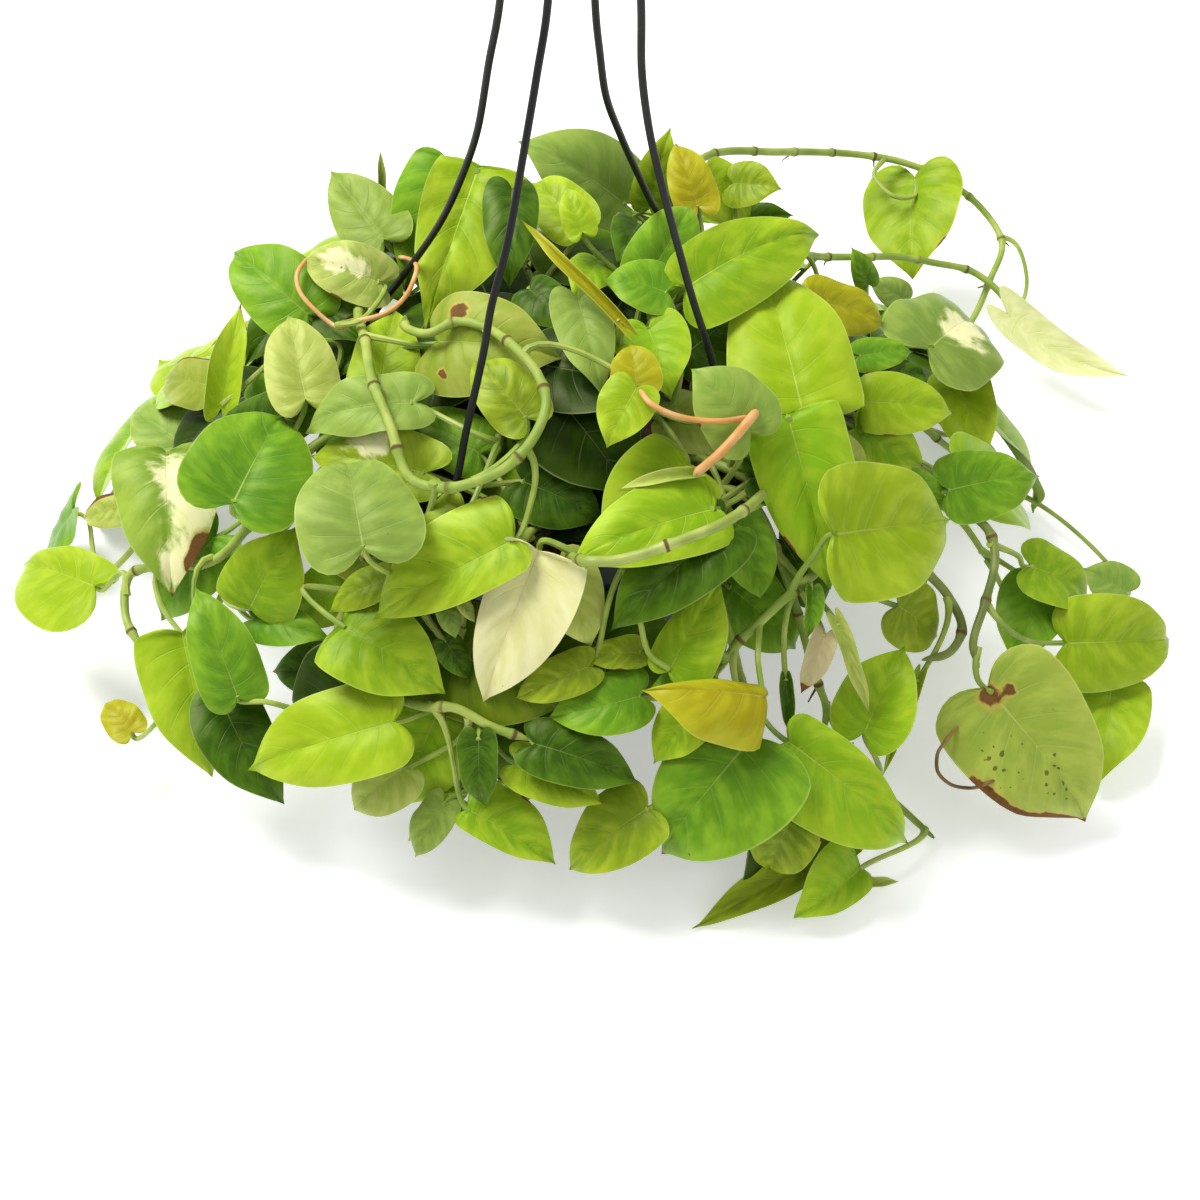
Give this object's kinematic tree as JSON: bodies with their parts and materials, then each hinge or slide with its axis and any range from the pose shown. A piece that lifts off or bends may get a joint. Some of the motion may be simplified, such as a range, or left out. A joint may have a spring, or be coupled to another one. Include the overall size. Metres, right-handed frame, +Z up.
{
  "type": "potted heartleaf philodendron",
  "caption": "Low trailing house plant with heart-shaped lime leaves, in a round plastic hanging pot with a four-strand hanger and hook, standing on its base.",
  "frame": {"origin": "centre of the pot's underside, on the surface that it stands on", "axes": "+Z up along the pot's axis, -Y towards the side that the longest runners and the picture face"},
  "size_m": [0.56, 0.4784, 0.5151],
  "materials": {
    "pot_plastic": "satin moulded",
    "hanger_plastic": "satin moulded",
    "peat": "loose damp potting mix",
    "foliage": "waxy semi-gloss leaf"
  },
  "bodies": {
    "root": {"hanger_hook": "hanger_plastic", "pot": "pot_plastic", "soil": "peat", "strand_far": "hanger_plastic", "strand_left": "hanger_plastic", "strand_near": "hanger_plastic", "strand_right": "hanger_plastic", "vine_crown_1": "foliage", "vine_crown_2": "foliage", "vine_crown_3": "foliage", "vine_crown_4": "foliage", "vine_crown_5": "foliage", "vine_far_right": "foliage", "vine_left": "foliage", "vine_loop": "foliage", "vine_low_left": "foliage", "vine_low_right": "foliage", "vine_near": "foliage", "vine_right": "foliage", "vine_right_low": "foliage", "vine_round_01": "foliage", "vine_round_02": "foliage", "vine_round_03": "foliage", "vine_round_04": "foliage", "vine_round_05": "foliage", "vine_round_06": "foliage", "vine_round_07": "foliage", "vine_round_08": "foliage", "vine_round_09": "foliage", "vine_round_10": "foliage", "vine_round_11": "foliage", "vine_round_12": "foliage", "vine_round_13": "foliage", "vine_round_14": "foliage", "vine_round_15": "foliage", "vine_upper_right": "foliage"}
  },
  "joints": []
}
